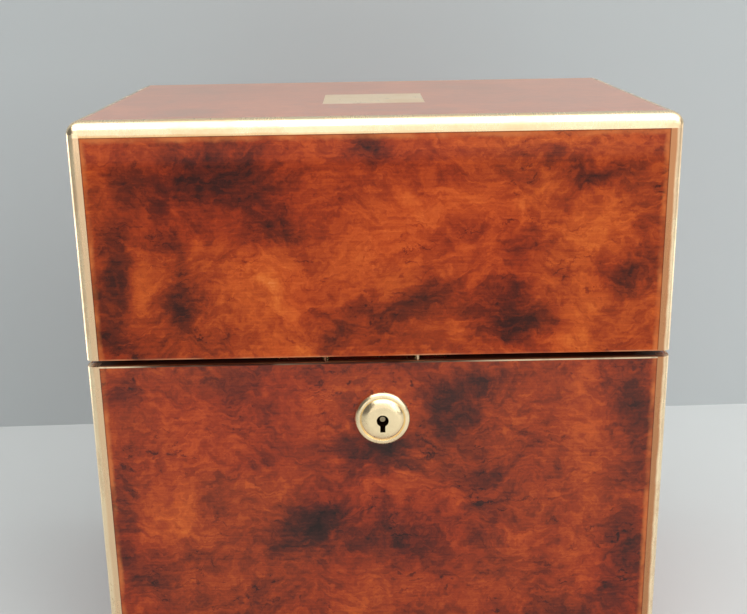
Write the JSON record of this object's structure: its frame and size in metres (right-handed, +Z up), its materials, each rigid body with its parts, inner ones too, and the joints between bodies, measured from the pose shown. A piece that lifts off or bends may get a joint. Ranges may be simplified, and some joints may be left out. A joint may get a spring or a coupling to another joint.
{
  "type": "tea caddy",
  "caption": "Brass-edged veneered box with a deep hinged lockable lid and lift-out lidded tea canisters inside.",
  "frame": {"origin": "middle of the underside, on the surface that it stands on", "axes": "+Z up, -Y out of the front with the lock, +X to the right of someone facing the lock"},
  "size_m": [0.2, 0.1419, 0.208],
  "materials": {
    "burr_veneer": "French-polished orange-brown burr veneer with dark clouds",
    "rim_wood": "polished hardwood facing",
    "carcase_wood": "plain mahogany",
    "edge_brass": "polished brass, lightly worn",
    "plate_brass": "flat polished brass, blank",
    "lock_brass": "turned and polished brass",
    "hinge_brass": "satin brass",
    "screw_brass": "satin brass",
    "lock_steel": "filed steel",
    "velvet": "crimson velvet over thin board",
    "padded_silk": "ruched crimson silk over wadding",
    "baize": "green wool baize",
    "canister_metal": "polished white metal",
    "cap_metal": "polished white metal"
  },
  "bodies": {
    "base": {"base_floor_board": "carcase_wood", "base_front_board": "carcase_wood", "base_back_board": "carcase_wood", "base_left_board": "carcase_wood", "base_right_board": "carcase_wood", "base_front_veneer": "burr_veneer", "base_back_veneer": "burr_veneer", "base_left_veneer": "burr_veneer", "base_right_veneer": "burr_veneer", "base_edge_strips": "edge_brass", "base_corner_strips": "edge_brass", "base_rim_facing": "rim_wood", "base_rim_line": "edge_brass", "base_baize": "baize", "base_lining_front": "velvet", "base_lining_back": "velvet", "base_lining_left": "velvet", "base_lining_right": "velvet", "base_lining_floor": "velvet", "canister_divider": "velvet", "lock_case": "lock_brass", "lock_cover": "lock_brass", "lock_nozzle": "lock_brass", "lock_screws": "screw_brass", "base_hinge_leaf_left": "hinge_brass", "base_hinge_leaf_right": "hinge_brass", "hinge_pins": "screw_brass", "base_hinge_screws": "screw_brass"},
    "lid": {"lid_top_board": "carcase_wood", "lid_front_board": "carcase_wood", "lid_back_board": "carcase_wood", "lid_left_board": "carcase_wood", "lid_right_board": "carcase_wood", "lid_top_veneer": "burr_veneer", "lid_front_veneer": "burr_veneer", "lid_back_veneer": "burr_veneer", "lid_left_veneer": "burr_veneer", "lid_right_veneer": "burr_veneer", "lid_edge_strips": "edge_brass", "lid_corner_strips": "edge_brass", "lid_rim_facing": "rim_wood", "initial_plate": "plate_brass", "initial_plate_pins": "plate_brass", "link_plate": "lock_brass", "link_plate_screws": "screw_brass", "lid_rest_studs": "lock_brass", "lid_lining_front": "velvet", "lid_lining_back": "velvet", "lid_lining_left": "velvet", "lid_lining_right": "velvet", "lid_pad": "padded_silk", "lid_hinge_leaf_left": "hinge_brass", "lid_hinge_leaf_right": "hinge_brass", "lid_hinge_screws": "screw_brass"},
    "lock_barrel": {"lock_barrel": "lock_brass"},
    "lock_bolt": {"lock_bolt": "lock_steel"},
    "canister_left": {"canister_left": "canister_metal"},
    "canister_right": {"canister_right": "canister_metal"},
    "cap_left": {"canister_cap_left": "cap_metal"},
    "cap_right": {"canister_cap_right": "cap_metal"}
  },
  "joints": [
    {"name": "lid_hinge", "type": "hinge", "parent": "base", "child": "lid", "pos_m": [0, 0.069, 0.1259], "axis": [-1, 0, 0], "range_deg": [0, 95]},
    {"name": "key_turn", "type": "hinge", "parent": "base", "child": "lock_barrel", "pos_m": [0.001, -0.067, 0.1044], "axis": [0, 1, 0], "range_deg": [0, 90]},
    {"name": "bolt_slide", "type": "slide", "parent": "base", "child": "lock_bolt", "axis": [1, 0, 0], "range_m": [0, 0.00565]},
    {"name": "canister_left_lift", "type": "slide", "parent": "base", "child": "canister_left", "axis": [0, 0, 1], "range_m": [0, 0.02]},
    {"name": "canister_right_lift", "type": "slide", "parent": "base", "child": "canister_right", "axis": [0, 0, 1], "range_m": [0, 0.02]},
    {"name": "cap_left_lift", "type": "slide", "parent": "canister_left", "child": "cap_left", "axis": [0, 0, 1], "range_m": [0, 0.02]},
    {"name": "cap_right_lift", "type": "slide", "parent": "canister_right", "child": "cap_right", "axis": [0, 0, 1], "range_m": [0, 0.02]}
  ],
  "couplings": [
    {"joint": "key_turn", "follows": "bolt_slide", "rad_per_m": 277.8}
  ]
}
